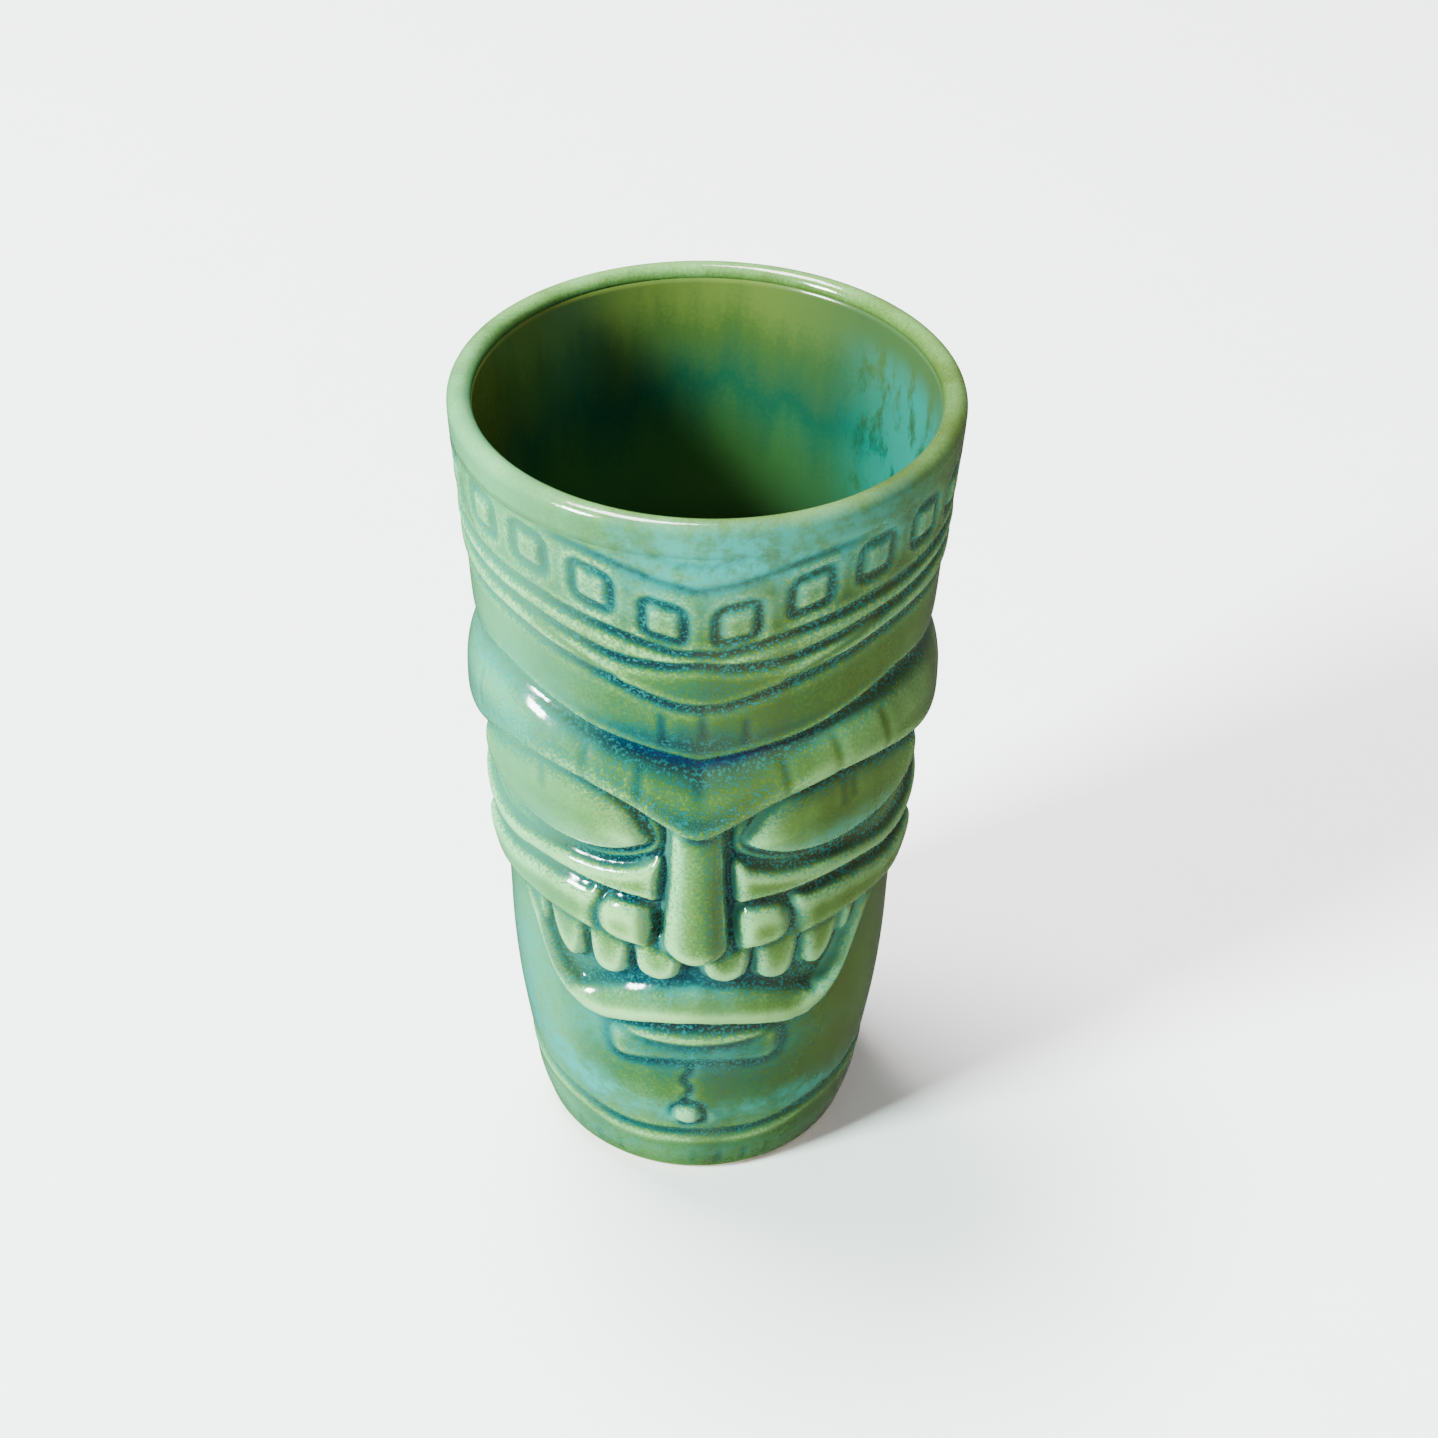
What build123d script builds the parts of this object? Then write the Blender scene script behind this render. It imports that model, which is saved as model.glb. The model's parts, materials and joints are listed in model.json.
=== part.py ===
"""Tiki mug: a glazed stoneware tumbler with a carved face.

The mug stands on its foot ring. +Z is up, the axis of the cup is Z, the face looks towards -Y, and the
origin is the centre of the foot ring's standing face. Millimetres throughout.

Every piece of relief is a sprig: a pad of clay with its back on the cup's outer wall. Its outline is given
as it lies on the wall, in degrees round the axis (0 at the nose, positive towards +X) and height.
"""

import os
from math import cos, radians, sin

from build123d import *

# Driving dimensions
HEIGHT = 160.0
RIM_RADIUS = 43.0
LIP_BASE = 154.0  # where the rolled lip starts
FOOT_TOP = 2.0
FLOOR_UNDER = 2.0
FLOOR_TOP = 7.0
WALL = 4.0  # clay wall, without its glaze
GLAZE = 0.4  # fused glass lining
FOOT_INNER = 23.5
FOOT_OUTER = 28.8

# Outer wall of the bare cup, (radius, height), from the foot to the lip
WALL_PROFILE = [
    (30.3, FOOT_TOP),
    (31.9, 8.0),
    (33.4, 22.0),
    (34.4, 40.0),
    (34.4, 54.0),
    (36.0, 70.0),
    (38.6, 84.0),
    (39.2, 104.0),
    (40.2, 120.0),
    (41.4, 140.0),
    (42.4, LIP_BASE),
]

# Raised bands that run right round the cup
BAND_RAISE = 0.7
CORD_RAISE = 0.9
BASE_BAND_TOP = 14.0
BASE_BAND_RAISE = 0.6
NOTCH_COUNT = 40
NOTCH_WIDTH = 1.6
NOTCH_HEIGHT = 5.0

# Headband tiles
TILE_COUNT = 22
TILE_WIDTH = 7.0
TILE_HEIGHT = 7.6
TILE_START = 34.0  # radius inside the wall from which the tiles' outlines run outwards
TILE_PAD_SHARE = 0.62  # pad size as a share of its pocket
TILE_BED = 0.02  # film of slip between a pad and the wall

# Face relief
BROW_RAISE = 3.6
EYE_RAISE = 2.4
CHEEK_RAISE = 2.2
LIP_RAISE = 2.6
NOSTRIL_RAISE = 3.6
TOOTH_RAISE = 2.2
MOUTH_RAISE = 3.0
PLAQUE_RAISE = 1.6
LENS_RAISE = 0.8
CHIN_RAISE = 0.9
NOSE_RADIUS = 5.3
NOSE_AXIS = 36.4  # distance of the nose's round axis from the cup's axis
NOSE_BOTTOM = 63.2
NOSE_TOP = 98.0
NOSE_TIP_FILLET = 3.0
BEAD_RADIUS = 2.5
BEAD_HEIGHT = 19.4
BEAD_ANGLE = -1.8
BEAD_RAISE = 1.6
SKIN = 60.0  # further out than any relief


def wall_radius(height):
    """Radius of the bare outer wall at a height, by straight lines between the profile's points."""
    for (low_r, low_z), (high_r, high_z) in zip(WALL_PROFILE, WALL_PROFILE[1:]):
        if height <= high_z:
            return low_r + (high_r - low_r) * (height - low_z) / (high_z - low_z)
    return WALL_PROFILE[-1][0]


def at(angle, height):
    """A point of an outline as seen from the front. At the side of the cup it is pushed clear of it."""
    if abs(angle) == 90:
        return (SKIN if angle > 0 else -SKIN, height)
    return (wall_radius(height) * sin(radians(angle)), height)


def mirrored(points):
    """The same outline on the other side of the face."""
    return [(-angle, height) for angle, height in reversed(points)]


def strip(upper, lower):
    """Outline of a band across the front, from the edges of its right half, which start at the nose."""
    left_upper = [(-angle, height) for angle, height in reversed(upper[1:])]
    left_lower = [(-angle, height) for angle, height in lower[1:]]
    return left_upper + upper + list(reversed(lower)) + left_lower


def save(piece, name):
    piece.part.label = name
    export_step(piece.part, f"parts/{name}.step")


os.makedirs("parts", exist_ok=True)


# ---------------------------------------------------------------- cup

with BuildPart() as body_wall:
    with BuildSketch(Plane.XZ) as wall_section:
        with BuildLine():
            outer = Spline(*WALL_PROFILE)
            inner = Spline(*[(radius - WALL, height) for radius, height in WALL_PROFILE])
            Line(outer @ 0, inner @ 0)
            Line(outer @ 1, inner @ 1)
        make_face()
    revolve(axis=Axis.Z)
save(body_wall, "body_wall")

# Solid cores, cut out of what sits on the wall or fills the inside; they are not pieces of their own
with BuildPart() as wall_core:
    with BuildSketch(Plane.XZ) as core_section:
        with BuildLine():
            outer = Spline(*WALL_PROFILE)
            Polyline(outer @ 1, (0, LIP_BASE), (0, FOOT_TOP), outer @ 0)
        make_face()
    revolve(axis=Axis.Z)

with BuildPart() as cup_hollow:
    with BuildSketch(Plane.XZ) as hollow_section:
        with BuildLine():
            inner = Spline(*[(radius - WALL, height) for radius, height in WALL_PROFILE])
            Polyline(inner @ 1, (0, LIP_BASE), (0, FOOT_TOP), inner @ 0)
        make_face()
    revolve(axis=Axis.Z)

with BuildPart() as base_slab:
    with BuildSketch(Plane.XY.offset(FLOOR_UNDER)):
        Circle(RIM_RADIUS)
    extrude(amount=FLOOR_TOP - FLOOR_UNDER)
    add(cup_hollow.part, mode=Mode.INTERSECT)
save(base_slab, "base_slab")

with BuildPart() as foot_ring:
    with BuildSketch(Plane.XY):
        Circle(FOOT_OUTER)
        Circle(FOOT_INNER, mode=Mode.SUBTRACT)
    extrude(amount=FOOT_TOP)
    chamfer(foot_ring.edges().group_by(Axis.Z)[0].sort_by(SortBy.RADIUS)[-1], 0.6)
save(foot_ring, "foot_ring")

with BuildPart() as rim_lip:
    lip_outer = RIM_RADIUS
    lip_inner = WALL_PROFILE[-1][0] - WALL
    lip_middle = (lip_outer + lip_inner) / 2
    lip_shoulder = HEIGHT - (lip_outer - lip_inner) / 2
    with BuildSketch(Plane.XZ):
        with BuildLine():
            Polyline(
                (lip_inner, lip_shoulder),
                (lip_inner, LIP_BASE),
                (lip_outer, LIP_BASE),
                (lip_outer, lip_shoulder),
            )
            ThreePointArc((lip_outer, lip_shoulder), (lip_middle, HEIGHT), (lip_inner, lip_shoulder))
        make_face()
    revolve(axis=Axis.Z)
save(rim_lip, "rim_lip")

with BuildPart() as glaze_lining:
    add(cup_hollow.part)
    with BuildSketch(Plane.XY.offset(FLOOR_TOP)):
        Circle(RIM_RADIUS)
    extrude(amount=-FLOOR_TOP, mode=Mode.SUBTRACT)
    with BuildSketch(Plane.XZ):
        with BuildLine():
            inner = Spline(*[(radius - WALL - GLAZE, height) for radius, height in WALL_PROFILE])
            Polyline(inner @ 1, (0, LIP_BASE), (0, FOOT_TOP), inner @ 0)
        make_face()
        with Locations((0, (FLOOR_TOP + GLAZE) / 2)):
            Rectangle(2 * RIM_RADIUS, FLOOR_TOP + GLAZE, mode=Mode.SUBTRACT)
    revolve(axis=Axis.Z, mode=Mode.SUBTRACT)
save(glaze_lining, "glaze_lining")


# ---------------------------------------------------------------- relief

def skin(raise_by, inner_raise=0.0):
    """The layer of clay between two distances outside the bare wall, with its seam at the back of the cup."""
    with BuildPart() as layer:
        with BuildSketch(Plane.XZ):
            with BuildLine():
                low = Spline(*[(radius + inner_raise, height) for radius, height in WALL_PROFILE])
                high = Spline(*[(radius + raise_by, height) for radius, height in WALL_PROFILE])
                Line(low @ 0, high @ 0)
                Line(low @ 1, high @ 1)
            make_face()
        revolve(axis=Axis.Z)
    return layer.part.rotate(Axis.Z, 90)


def sprig(front, raise_by, back=None, inner_raise=0.0):
    """A pad laid on the wall. front is its outline on the face side, back its outline on the rear half."""
    with BuildPart() as pad:
        for outline, depth in ((front, SKIN), (back, -SKIN)):
            if outline:
                with BuildSketch(Plane.XZ):
                    with BuildLine():
                        Polyline(*[at(angle, height) for angle, height in outline], close=True)
                    make_face()
                extrude(amount=depth)
        add(skin(raise_by, inner_raise), mode=Mode.INTERSECT)
    return pad


def side_pair(outline, raise_by, name):
    """The same pad on both sides of the face."""
    save(sprig(outline, raise_by), f"right_{name}")
    save(sprig(mirrored(outline), raise_by), f"left_{name}")


# Edges of the bands that run round the cup, (angle, height), from the nose to where they turn level
LEVEL_FROM = 65
HEADBAND_TOP = [(0, 147.4), (8, 149.2), (16, 151.2), (24, 152.6), (32, 153.3), (LEVEL_FROM, 153.3)]
HEADBAND_LOW = [(0, 134.6), (12, 135.8), (24, 137.4), (36, 138.9), (48, 140.2), (LEVEL_FROM, 140.4)]
UPPER_CORD_TOP = [(0, 133.9), (12, 134.9), (24, 136.4), (36, 137.9), (48, 139.2), (LEVEL_FROM, 139.4)]
UPPER_CORD_LOW = [(0, 132.8), (14, 132.3), (22, 133.0), (32, 134.8), (45, 136.3), (LEVEL_FROM, 136.4)]
LOWER_CORD_TOP = [(30, 132.6), (36, 134.4), (46, 135.4), (LEVEL_FROM, 135.4)]
LOWER_CORD_LOW = [(30, 130.0), (38, 130.6), (48, 131.4), (LEVEL_FROM, 131.8)]
CRESCENT_TOP = [(0, 131.8), (8, 131.2), (14, 131.1), (20, 131.4), (27, 131.8)]
CRESCENT_LOW = [(0, 123.6), (6, 124.2), (12, 125.6), (24, 128.4), (28, 129.2)]
BROW_TOP = [
    (0, 109.8), (10, 111.4), (25, 113.6), (36, 115.8), (46, 117.8), (56, 118.4), (68, 117.6),
    (84, 115.6), (90, 115.6),
]
BROW_LOW = [
    (0, 94.5), (6, 96.9), (15, 100.0), (24, 102.0), (40, 104.2), (52, 103.8), (66, 101.8),
    (84, 100.6), (90, 100.6),
]
BROW_BACK = [(96, 115.6), (116, 113.4), (124, 108.6), (116, 103.6), (96, 100.6)]


def ring(fronts, raise_by, top, low):
    """A band right round the cup: these outlines on the front, and level between top and low elsewhere."""
    with BuildPart() as band:
        with BuildSketch(Plane.XY.offset(low)):
            Circle(SKIN)
        extrude(amount=top - low)
        gap = [(-LEVEL_FROM, low), (-LEVEL_FROM, top), (LEVEL_FROM, top), (LEVEL_FROM, low)]
        for outline, mode in [(gap, Mode.SUBTRACT)] + [(front, Mode.ADD) for front in fronts]:
            with BuildSketch(Plane.XZ):
                with BuildLine():
                    Polyline(*[at(angle, height) for angle, height in outline], close=True)
                make_face()
            extrude(amount=SKIN, mode=mode)
        add(skin(raise_by), mode=Mode.INTERSECT)
    return band


def edge_height(edge, angle):
    """Height of a band's edge at an angle round the cup; past its last point it stays level."""
    angle = abs((angle + 180) % 360 - 180)
    for (low_a, low_z), (high_a, high_z) in zip(edge, edge[1:]):
        if angle <= high_a:
            return low_z + (high_z - low_z) * (angle - low_a) / (high_a - low_a)
    return edge[-1][1]


def tile_blocks(share):
    """One upright block through the skin for each tile, centred between the headband's edges."""
    with BuildPart() as blocks:
        for index in range(TILE_COUNT):
            angle = (index + 0.5) * 360 / TILE_COUNT
            middle = (edge_height(HEADBAND_TOP, angle) + edge_height(HEADBAND_LOW, angle)) / 2
            outward = (sin(radians(angle)), -cos(radians(angle)), 0)
            across = (cos(radians(angle)), sin(radians(angle)), 0)
            inside = (TILE_START * outward[0], TILE_START * outward[1], middle)
            with BuildSketch(Plane(origin=inside, x_dir=across, z_dir=outward)):
                Rectangle(TILE_WIDTH * share, TILE_HEIGHT * share)
            extrude(amount=SKIN - TILE_START)
    return blocks.part


with BuildPart() as headband:
    add(ring([strip(HEADBAND_TOP, HEADBAND_LOW)], BAND_RAISE, HEADBAND_TOP[-1][1], HEADBAND_LOW[-1][1]).part)
    add(tile_blocks(1.0), mode=Mode.SUBTRACT)
save(headband, "headband")

with BuildPart() as headband_tiles:
    add(tile_blocks(TILE_PAD_SHARE))
    add(skin(BAND_RAISE, TILE_BED), mode=Mode.INTERSECT)
save(headband_tiles, "headband_tiles")

upper_cord_front = strip(UPPER_CORD_TOP, UPPER_CORD_LOW)
upper_cord = ring([upper_cord_front], CORD_RAISE, UPPER_CORD_TOP[-1][1], UPPER_CORD_LOW[-1][1])
save(upper_cord, "upper_cord")

lower_cord_front = LOWER_CORD_TOP + list(reversed(LOWER_CORD_LOW))
lower_cord_fronts = [lower_cord_front, mirrored(lower_cord_front)]
lower_cord = ring(lower_cord_fronts, CORD_RAISE, LOWER_CORD_TOP[-1][1], LOWER_CORD_LOW[-1][1])
save(lower_cord, "lower_cord")

forehead_crescent = sprig(strip(CRESCENT_TOP, CRESCENT_LOW), CORD_RAISE)
save(forehead_crescent, "forehead_crescent")

brow_side_back = [(90, BROW_TOP[-1][1])] + BROW_BACK + [(90, BROW_LOW[-1][1])]
with BuildPart() as brow_ridge:
    add(sprig(strip(BROW_TOP, BROW_LOW), BROW_RAISE).part)
    for back in (brow_side_back, mirrored(brow_side_back)):
        add(sprig(None, BROW_RAISE, back).part)
save(brow_ridge, "brow_ridge")

EYE = [
    (13.4, 94.3), (16.6, 91.4), (23, 89.4), (29, 88.5), (36.5, 88.4), (47, 89.2), (60, 90.0),
    (65, 92.8), (67, 97.0), (66, 101.2), (52, 103.2), (40, 103.6), (24, 101.4), (16, 99.4),
]
CHEEK = [
    (10.0, 91.0), (17, 87.6), (23, 85.8), (30, 84.8), (37, 84.4), (45, 83.8), (55, 82.6), (66, 82.4),
    (78, 83.0), (78, 78.6), (66, 77.4), (55, 77.8), (46, 79.2), (38, 79.3), (30, 79.0), (24, 78.2),
    (17, 78.0), (11, 78.0),
]
UPPER_LIP = [
    (26.8, 76.6), (31, 77.6), (38, 78.0), (47, 77.8), (55, 76.4), (64, 75.6), (78, 75.8),
    (78, 66.0), (68, 66.2), (58, 69.0), (49, 70.2), (39, 70.2), (31, 69.4), (26.8, 67.4),
]
NOSTRIL = [
    (12.1, 67.0), (11.8, 73.4), (13.6, 76.0), (17.7, 77.0), (21.8, 77.0), (25.4, 75.6), (26.0, 70.0),
    (24.0, 66.9), (19.5, 66.5),
]
TEETH = [
    [(6.5, 58.8), (8.5, 57.6), (14.5, 57.4), (17, 58.8), (17, 65.6), (9.4, 65.6), (9.4, 62.9), (6.5, 62.9)],
    [(19.2, 59.0), (22, 56.4), (28, 56.2), (30.3, 58.4), (30.3, 66.6), (24.6, 66.0), (19.2, 65.7)],
    [(32.2, 59.0), (35, 56.8), (42, 57.2), (44.6, 60.0), (44.6, 69.6), (39, 69.6), (32.2, 68.9)],
    [(47.6, 61.6), (50, 59.0), (54.4, 63.0), (54.8, 68.6), (48.4, 69.6)],
]
MOUTH_OUTER = [(0, 47.6), (22, 46.4), (34, 43.4), (41, 46.0), (48, 49.0), (57, 52.4), (66, 56.4), (72, 65.2)]
MOUTH_INNER = [
    (0, 53.0), (28, 50.6), (37, 48.8), (41.8, 50.4), (47.2, 54.4), (52.3, 58.6), (56.3, 63.2),
    (57.6, 68.4),
]
PLAQUE = [(0, 44.8), (20, 44.6), (26, 43.2), (27.4, 40.2), (26, 35.6), (22, 34.6), (0, 34.8)]
LENS = [(0, 44.2), (18, 44.0), (24, 43.2), (20, 42.2), (12, 41.2), (0, 40.8)]
WEDGE = [(6.4, 22.4), (10.4, 18.8), (6.2, 16.8)]

side_pair(EYE, EYE_RAISE, "eye")
side_pair(CHEEK, CHEEK_RAISE, "cheek")
side_pair(UPPER_LIP, LIP_RAISE, "upper_lip")
side_pair(NOSTRIL, NOSTRIL_RAISE, "nostril")
for number, tooth in enumerate(TEETH, start=1):
    side_pair(tooth, TOOTH_RAISE, f"tooth_{number}")
side_pair(WEDGE, CHIN_RAISE, "chin_wedge")

save(sprig(strip(MOUTH_INNER, MOUTH_OUTER), MOUTH_RAISE), "mouth_rim")
save(sprig(strip(PLAQUE[:4], [PLAQUE[-1], PLAQUE[-2], PLAQUE[-3]]), PLAQUE_RAISE), "chin_plaque")
lens_outline = strip(LENS[:3], [LENS[-1], LENS[-2], LENS[-3]])
save(sprig(lens_outline, PLAQUE_RAISE + LENS_RAISE, inner_raise=PLAQUE_RAISE), "chin_lens")

with BuildPart() as nose:
    with BuildSketch(Plane.XY.offset(NOSE_BOTTOM)):
        with Locations((0, -NOSE_AXIS)):
            Circle(NOSE_RADIUS)
    extrude(amount=NOSE_TOP - NOSE_BOTTOM)
    fillet(nose.edges().group_by(Axis.Z)[0], NOSE_TIP_FILLET)
    add(wall_core.part, mode=Mode.SUBTRACT)
    add(brow_ridge.part, mode=Mode.SUBTRACT)
    trim_low = NOSE_TOP - 3.0
    trim_top = NOSE_TOP + 2.0
    above_brow_point = [(-30, trim_low), (-30, trim_top), (30, trim_top), (30, trim_low)]
    add(sprig(above_brow_point, SKIN / 2).part, mode=Mode.SUBTRACT)
save(nose, "nose")

with BuildPart() as chin_bead:
    bead_out = wall_radius(BEAD_HEIGHT) + BEAD_RAISE - BEAD_RADIUS
    bead_x = bead_out * sin(radians(BEAD_ANGLE))
    bead_y = -bead_out * cos(radians(BEAD_ANGLE))
    with Locations((bead_x, bead_y, BEAD_HEIGHT)):
        Sphere(BEAD_RADIUS)
    add(wall_core.part, mode=Mode.SUBTRACT)
save(chin_bead, "chin_bead")

with BuildPart() as base_band:
    add(skin(BASE_BAND_RAISE))
    with BuildSketch(Plane.XY.offset(BASE_BAND_TOP)):
        Circle(SKIN)
    extrude(amount=HEIGHT, mode=Mode.SUBTRACT)
    with PolarLocations(0, NOTCH_COUNT, start_angle=4.5):
        with Locations((FOOT_OUTER + 2, 0, FOOT_TOP + NOTCH_HEIGHT / 2)):
            Box(6, NOTCH_WIDTH, NOTCH_HEIGHT, mode=Mode.SUBTRACT)
save(base_band, "base_band")
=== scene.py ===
"""Tiki mug: the visual model on the CAD frame.

The outside of the mug is one carved surface, worked out as a height above the bare cup at every angle round
the axis and every height, then divided into the mug's own pieces along the grooves between them. Angles are
in degrees, 0 at the nose and positive to the right as the face is seen; lengths are in millimetres until
the meshes are made, and metres in Blender.
"""

import json
import math

import bpy
import numpy as np
from mathutils import Matrix, Vector


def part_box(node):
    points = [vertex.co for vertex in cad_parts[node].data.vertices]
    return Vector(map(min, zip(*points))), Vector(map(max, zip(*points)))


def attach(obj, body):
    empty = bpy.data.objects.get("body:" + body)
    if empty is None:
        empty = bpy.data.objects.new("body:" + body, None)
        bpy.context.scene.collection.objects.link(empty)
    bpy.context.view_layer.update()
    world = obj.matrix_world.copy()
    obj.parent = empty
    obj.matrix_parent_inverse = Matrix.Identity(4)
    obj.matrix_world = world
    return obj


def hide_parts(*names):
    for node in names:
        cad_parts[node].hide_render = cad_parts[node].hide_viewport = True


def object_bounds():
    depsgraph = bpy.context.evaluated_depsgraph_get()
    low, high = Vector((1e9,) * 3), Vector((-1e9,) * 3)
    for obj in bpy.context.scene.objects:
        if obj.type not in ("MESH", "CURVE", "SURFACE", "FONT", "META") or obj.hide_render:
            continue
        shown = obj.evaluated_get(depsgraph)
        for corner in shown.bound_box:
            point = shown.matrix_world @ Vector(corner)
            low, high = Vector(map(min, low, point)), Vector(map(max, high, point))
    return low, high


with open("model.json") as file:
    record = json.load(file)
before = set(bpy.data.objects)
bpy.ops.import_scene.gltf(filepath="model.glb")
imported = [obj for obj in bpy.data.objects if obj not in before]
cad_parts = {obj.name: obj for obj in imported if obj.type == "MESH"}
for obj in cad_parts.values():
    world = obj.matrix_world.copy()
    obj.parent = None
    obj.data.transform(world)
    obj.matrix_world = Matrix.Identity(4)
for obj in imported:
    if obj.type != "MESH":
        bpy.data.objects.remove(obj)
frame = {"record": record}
cad_low, cad_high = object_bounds()

MM = 0.001

# ---------------------------------------------------------------- sizes, from the frame, but for the wall's thickness and the foot's inner radius

HEIGHT = cad_high.z / MM
RIM_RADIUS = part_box("rim_lip")[1].x / MM
LIP_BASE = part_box("rim_lip")[0].z / MM
WALL = 4.0
FOOT_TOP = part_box("foot_ring")[1].z / MM
FOOT_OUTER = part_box("foot_ring")[1].x / MM
FOOT_INNER = 23.5
FLOOR_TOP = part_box("base_slab")[1].z / MM

# ---------------------------------------------------------------- camera

CAMERA_TARGET = Vector((3.1, 0.0, 89.0)) * MM
CAMERA_DISTANCE = 456 * MM
CAMERA_ELEVATION = 38.55
CAMERA_ROLL = 1.28
CAMERA_LENS = 62.6


def make_camera():
    elevation = math.radians(CAMERA_ELEVATION)
    back = Vector((0.0, -math.cos(elevation), math.sin(elevation)))
    camera = bpy.data.objects.new("camera", bpy.data.cameras.new("camera"))
    bpy.context.scene.collection.objects.link(camera)
    camera.location = CAMERA_TARGET + back * CAMERA_DISTANCE
    upright = (-back).to_track_quat("-Z", "Y").to_matrix().to_4x4()
    roll = Matrix.Rotation(math.radians(CAMERA_ROLL), 4, "Z")
    camera.matrix_world = Matrix.Translation(camera.location) @ upright @ roll
    camera.data.lens = CAMERA_LENS
    camera.data.sensor_width = 36.0
    camera.data.clip_start = 0.02
    camera.data.clip_end = 20.0
    bpy.context.scene.camera = camera


make_camera()

# ---------------------------------------------------------------- curve and profile helpers


def smooth_step(x, start, end):
    t = np.clip((x - start) / (end - start), 0.0, 1.0)
    return t * t * (3 - 2 * t)


def through(points, x):
    """Smooth curve through (x, y) points, flat beyond its ends."""
    px = np.array([p[0] for p in points], float)
    py = np.array([p[1] for p in points], float)
    slope = np.gradient(py, px)
    fine = np.linspace(px[0], px[-1], 400)
    k = np.clip(np.searchsorted(px, fine) - 1, 0, len(px) - 2)
    span = px[k + 1] - px[k]
    t = (fine - px[k]) / span
    value = (
        py[k] * (2 * t**3 - 3 * t**2 + 1)
        + py[k + 1] * (3 * t**2 - 2 * t**3)
        + span * slope[k] * (t**3 - 2 * t**2 + t)
        + span * slope[k + 1] * (t**3 - t**2)
    )
    return np.interp(x, fine, value)


def groove(distance, width, depth):
    """A cut with a round bottom and soft shoulders."""
    return -depth * np.exp(-((distance / width) ** 2))


def ridge(distance, width, raise_by):
    return raise_by * np.exp(-((distance / width) ** 2))


def pillow(inside, edge):
    """0 outside an outline, rising over a quarter circle to 1 at a distance edge inside it."""
    t = 1 - np.clip(inside / edge, 0.0, 1.0)
    return np.sqrt(np.clip(1 - t * t, 0.0, 1.0))


WALL_PROFILE = [
    (FOOT_TOP, 30.3), (8.0, 31.9), (14.0, 32.6), (22.0, 33.7), (32.0, 34.9), (44.0, 35.7), (54.0, 35.9),
    (64.0, 36.2), (74.0, 37.1), (84.0, 38.0), (94.0, 38.9), (104.0, 39.2), (112.0, 39.2), (120.0, 40.3),
    (130.0, 40.9), (140.0, 41.7), (150.0, 42.5), (LIP_BASE + 3, 43.0), (HEIGHT, 43.0),
]


def wall_radius(z):
    return through(WALL_PROFILE, z)


# ---------------------------------------------------------------- carved outlines, (angle, height)

GROOVE_UNDER_RIM = [
    (0, 147.4), (8, 148.7), (15, 150.3), (22, 151.8), (30, 152.8), (36, 153.2), (44, 153.4),
]
FAINT_GROOVE = [(0, 152.4), (6, 153.0), (12, 154.6), (18, 155.4), (24, 155.8)]
BAND_LOW = [
    (0, 134.5), (6, 134.7), (10, 135.6), (17, 136.9), (24, 138.0), (32, 139.0), (40, 140.0), (50, 140.4),
    (180, 140.4),
]
CORD_LOW = [
    (0, 132.4), (8, 131.8), (14, 131.8), (20, 132.2), (28, 133.6), (35, 134.7), (42, 135.6), (52, 136.2),
    (180, 136.2),
]
STRAND_LOW = [
    (0, 122.9), (6, 123.5), (12, 124.9), (18, 126.4), (24, 127.6), (31, 129.0), (38, 130.0), (44, 131.0),
    (52, 131.7), (70, 131.6), (180, 131.6),
]
STRAND_CROSS = [(20, 128.0), (28, 130.4), (35, 132.4), (42, 134.2), (47, 135.9)]
BROW_TOP = [
    (0, 110.2), (4, 110.9), (10, 111.8), (16.5, 112.8), (23, 113.7), (28, 114.5), (35, 116.0), (46, 118.1),
    (52, 118.9), (60, 118.6), (75, 116.6), (95, 114.6), (130, 112.8), (180, 112.4),
]
BROW_LOW = [
    (0, 95.3), (3, 95.9), (6, 97.3), (9.5, 99.0), (15, 101.6), (21, 103.4), (28, 104.8), (36, 105.6),
    (44, 105.4), (54, 104.0), (66, 101.6), (80, 99.8), (95, 99.6), (130, 101.6), (180, 102.0),
]
BASE_GROOVE = [(0, 13.9), (26, 14.0), (40, 15.6), (60, 16.8), (90, 17.2), (180, 17.2)]

EYE = [
    (12.0, 92.8), (16.0, 90.6), (22, 88.9), (29, 88.0), (37, 87.8), (47, 88.6), (57, 89.6), (65, 92.2),
    (69, 97.0), (66, 102.5), (54, 105.0), (40, 106.0), (25, 104.4), (17.6, 100.6), (13.6, 96.2),
]
CHEEK = [
    (8.8, 89.0), (10.8, 88.4), (15, 86.4), (21, 85.0), (29, 84.2), (38, 84.1), (47, 83.3), (57, 82.0),
    (68, 81.6), (84, 82.4), (96, 82.2), (98, 79.6), (84, 77.8), (68, 77.2), (57, 77.8), (47, 79.3),
    (37, 79.6), (29, 79.2), (21, 78.7), (14.5, 78.4), (9.4, 78.6),
]
UPPER_LIP = [
    (25.6, 77.0), (31, 77.7), (38, 78.0), (47, 77.8), (56, 76.4), (66, 75.6), (78, 75.6), (84, 73.4),
    (78, 70.6), (68, 67.2), (58, 67.4), (49, 67.8), (41, 67.6), (34.6, 67.2), (29.7, 66.8), (27.6, 66.6),
]
NOSTRIL = [
    (11.8, 68.0), (11.8, 74.6), (13.8, 76.9), (19, 77.6), (24.4, 76.8), (27.4, 74.0), (27.4, 69.8),
    (24, 67.4), (18, 66.5), (13.2, 66.6),
]
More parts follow.
